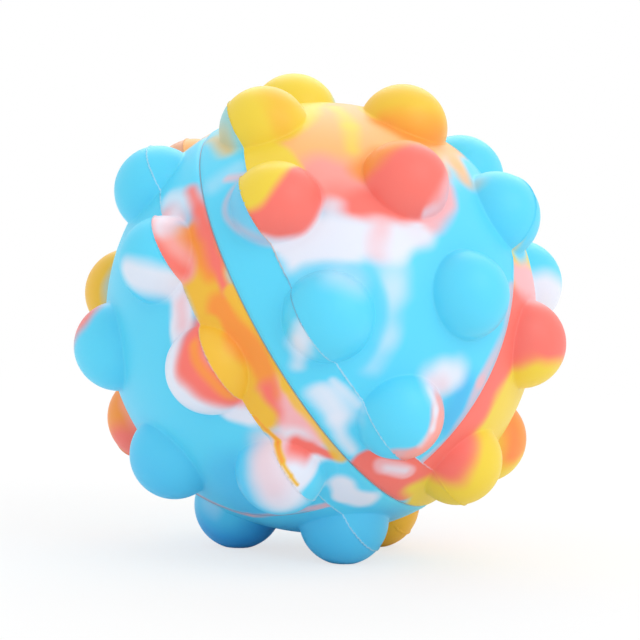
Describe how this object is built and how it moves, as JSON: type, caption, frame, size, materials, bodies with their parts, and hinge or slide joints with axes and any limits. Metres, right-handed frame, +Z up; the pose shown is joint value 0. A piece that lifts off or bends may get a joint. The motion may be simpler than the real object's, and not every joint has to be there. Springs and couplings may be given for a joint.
{
  "type": "pop-it stress ball",
  "caption": "Hollow marbled silicone ball of two bonded half shells, covered in bubbles that press in and stay in.",
  "frame": {"origin": "centre of the ball", "axes": "+Z up, square to the surface the ball rests on; the right half's pole points to +X, up and a little to -Y"},
  "size_m": [0.0678, 0.0695, 0.0661],
  "materials": {
    "silicone_sky": "matte, moulded",
    "silicone_lemon": "matte, moulded",
    "silicone_orange": "matte, moulded",
    "silicone_coral": "matte, moulded",
    "silicone_white": "matte, moulded",
    "bond_silicone": "cured adhesive"
  },
  "bodies": {
    "shell": {"half_shell_right": "silicone_sky", "half_shell_left": "silicone_sky", "bond_bead": "bond_silicone"},
    "bubble_right_pole": {"bubble_right_pole": "silicone_sky"},
    "bubble_right_ring_1": {"bubble_right_ring_1": "silicone_coral"},
    "bubble_right_ring_2": {"bubble_right_ring_2": "silicone_sky"},
    "bubble_right_ring_3": {"bubble_right_ring_3": "silicone_sky"},
    "bubble_right_ring_4": {"bubble_right_ring_4": "silicone_orange"},
    "bubble_right_ring_5": {"bubble_right_ring_5": "silicone_coral"},
    "bubble_right_ring_6": {"bubble_right_ring_6": "silicone_sky"},
    "bubble_right_row_1": {"bubble_right_row_1": "silicone_coral"},
    "bubble_right_row_2": {"bubble_right_row_2": "silicone_orange"},
    "bubble_right_row_3": {"bubble_right_row_3": "silicone_lemon"},
    "bubble_right_row_4": {"bubble_right_row_4": "silicone_lemon"},
    "bubble_right_row_5": {"bubble_right_row_5": "silicone_sky"},
    "bubble_right_row_6": {"bubble_right_row_6": "silicone_orange"},
    "bubble_right_row_7": {"bubble_right_row_7": "silicone_lemon"},
    "bubble_right_row_8": {"bubble_right_row_8": "silicone_lemon"},
    "bubble_right_row_9": {"bubble_right_row_9": "silicone_sky"},
    "bubble_right_row_10": {"bubble_right_row_10": "silicone_sky"},
    "bubble_left_pole": {"bubble_left_pole": "silicone_orange"},
    "bubble_left_ring_1": {"bubble_left_ring_1": "silicone_sky"},
    "bubble_left_ring_2": {"bubble_left_ring_2": "silicone_sky"},
    "bubble_left_ring_3": {"bubble_left_ring_3": "silicone_orange"},
    "bubble_left_ring_4": {"bubble_left_ring_4": "silicone_sky"},
    "bubble_left_ring_5": {"bubble_left_ring_5": "silicone_coral"},
    "bubble_left_ring_6": {"bubble_left_ring_6": "silicone_sky"},
    "bubble_left_row_1": {"bubble_left_row_1": "silicone_white"},
    "bubble_left_row_2": {"bubble_left_row_2": "silicone_coral"},
    "bubble_left_row_3": {"bubble_left_row_3": "silicone_sky"},
    "bubble_left_row_4": {"bubble_left_row_4": "silicone_sky"},
    "bubble_left_row_5": {"bubble_left_row_5": "silicone_orange"},
    "bubble_left_row_6": {"bubble_left_row_6": "silicone_lemon"},
    "bubble_left_row_7": {"bubble_left_row_7": "silicone_sky"},
    "bubble_left_row_8": {"bubble_left_row_8": "silicone_coral"},
    "bubble_left_row_9": {"bubble_left_row_9": "silicone_orange"},
    "bubble_left_row_10": {"bubble_left_row_10": "silicone_sky"}
  },
  "joints": [
    {"name": "press_right_pole", "type": "slide", "parent": "shell", "child": "bubble_right_pole", "axis": [-0.8121, 0.2237, -0.539], "range_m": [0, 0.01]},
    {"name": "press_right_ring_1", "type": "slide", "parent": "shell", "child": "bubble_right_ring_1", "axis": [-0.9562, 0.2868, 0.0587], "range_m": [0, 0.01]},
    {"name": "press_right_ring_2", "type": "slide", "parent": "shell", "child": "bubble_right_ring_2", "axis": [-0.9518, -0.2537, -0.1722], "range_m": [0, 0.01]},
    {"name": "press_right_ring_3", "type": "slide", "parent": "shell", "child": "bubble_right_ring_3", "axis": [-0.6526, -0.3596, -0.667], "range_m": [0, 0.01]},
    {"name": "press_right_ring_4", "type": "slide", "parent": "shell", "child": "bubble_right_ring_4", "axis": [-0.3578, 0.0751, -0.9308], "range_m": [0, 0.01]},
    {"name": "press_right_ring_5", "type": "slide", "parent": "shell", "child": "bubble_right_ring_5", "axis": [-0.3621, 0.6157, -0.6999], "range_m": [0, 0.01]},
    {"name": "press_right_ring_6", "type": "slide", "parent": "shell", "child": "bubble_right_ring_6", "axis": [-0.6614, 0.7215, -0.2051], "range_m": [0, 0.01]},
    {"name": "press_right_row_1", "type": "slide", "parent": "shell", "child": "bubble_right_row_1", "axis": [-0.6681, 0.426, 0.6101], "range_m": [0, 0.01]},
    {"name": "press_right_row_2", "type": "slide", "parent": "shell", "child": "bubble_right_row_2", "axis": [-0.8036, -0.145, 0.5772], "range_m": [0, 0.01]},
    {"name": "press_right_row_3", "type": "slide", "parent": "shell", "child": "bubble_right_row_3", "axis": [-0.728, -0.6342, 0.2603], "range_m": [0, 0.01]},
    {"name": "press_right_row_4", "type": "slide", "parent": "shell", "child": "bubble_right_row_4", "axis": [-0.4702, -0.8548, -0.2196], "range_m": [0, 0.01]},
    {"name": "press_right_row_5", "type": "slide", "parent": "shell", "child": "bubble_right_row_5", "axis": [-0.1286, -0.7225, -0.6793], "range_m": [0, 0.01]},
    {"name": "press_right_row_6", "type": "slide", "parent": "shell", "child": "bubble_right_row_6", "axis": [0.1662, -0.2878, -0.9432], "range_m": [0, 0.01]},
    {"name": "press_right_row_7", "type": "slide", "parent": "shell", "child": "bubble_right_row_7", "axis": [0.3017, 0.2832, -0.9104], "range_m": [0, 0.01]},
    {"name": "press_right_row_8", "type": "slide", "parent": "shell", "child": "bubble_right_row_8", "axis": [0.2261, 0.7725, -0.5934], "range_m": [0, 0.01]},
    {"name": "press_right_row_9", "type": "slide", "parent": "shell", "child": "bubble_right_row_9", "axis": [-0.0317, 0.993, -0.1135], "range_m": [0, 0.01]},
    {"name": "press_right_row_10", "type": "slide", "parent": "shell", "child": "bubble_right_row_10", "axis": [-0.3733, 0.8607, 0.3462], "range_m": [0, 0.01]},
    {"name": "press_left_pole", "type": "slide", "parent": "shell", "child": "bubble_left_pole", "axis": [0.8121, -0.2237, 0.539], "range_m": [0, 0.01]},
    {"name": "press_left_ring_1", "type": "slide", "parent": "shell", "child": "bubble_left_ring_1", "axis": [0.6753, 0.3709, 0.6374], "range_m": [0, 0.01]},
    {"name": "press_left_ring_2", "type": "slide", "parent": "shell", "child": "bubble_left_ring_2", "axis": [0.9628, 0.228, 0.145], "range_m": [0, 0.01]},
    {"name": "press_left_ring_3", "type": "slide", "parent": "shell", "child": "bubble_left_ring_3", "axis": [0.9444, -0.3239, -0.0563], "range_m": [0, 0.01]},
    {"name": "press_left_ring_4", "type": "slide", "parent": "shell", "child": "bubble_left_ring_4", "axis": [0.6386, -0.7329, 0.2347], "range_m": [0, 0.01]},
    {"name": "press_left_ring_5", "type": "slide", "parent": "shell", "child": "bubble_left_ring_5", "axis": [0.3512, -0.59, 0.7271], "range_m": [0, 0.01]},
    {"name": "press_left_ring_6", "type": "slide", "parent": "shell", "child": "bubble_left_ring_6", "axis": [0.3695, -0.0381, 0.9284], "range_m": [0, 0.01]},
    {"name": "press_left_row_1", "type": "slide", "parent": "shell", "child": "bubble_left_row_1", "axis": [0.1648, 0.7527, 0.6374], "range_m": [0, 0.01]},
    {"name": "press_left_row_2", "type": "slide", "parent": "shell", "child": "bubble_left_row_2", "axis": [0.5035, 0.8478, 0.1666], "range_m": [0, 0.01]},
    {"name": "press_left_row_3", "type": "slide", "parent": "shell", "child": "bubble_left_row_3", "axis": [0.7458, 0.5927, -0.3043], "range_m": [0, 0.01]},
    {"name": "press_left_row_4", "type": "slide", "parent": "shell", "child": "bubble_left_row_4", "axis": [0.799, 0.0848, -0.5953], "range_m": [0, 0.01]},
    {"name": "press_left_row_5", "type": "slide", "parent": "shell", "child": "bubble_left_row_5", "axis": [0.6429, -0.4819, -0.5953], "range_m": [0, 0.01]},
    {"name": "press_left_row_6", "type": "slide", "parent": "shell", "child": "bubble_left_row_6", "axis": [0.3371, -0.8909, -0.3043], "range_m": [0, 0.01]},
    {"name": "press_left_row_7", "type": "slide", "parent": "shell", "child": "bubble_left_row_7", "axis": [-0.0016, -0.986, 0.1666], "range_m": [0, 0.01]},
    {"name": "press_left_row_8", "type": "slide", "parent": "shell", "child": "bubble_left_row_8", "axis": [-0.2439, -0.7309, 0.6374], "range_m": [0, 0.01]},
    {"name": "press_left_row_9", "type": "slide", "parent": "shell", "child": "bubble_left_row_9", "axis": [-0.2971, -0.223, 0.9284], "range_m": [0, 0.01]},
    {"name": "press_left_row_10", "type": "slide", "parent": "shell", "child": "bubble_left_row_10", "axis": [-0.141, 0.3437, 0.9284], "range_m": [0, 0.01]}
  ]
}
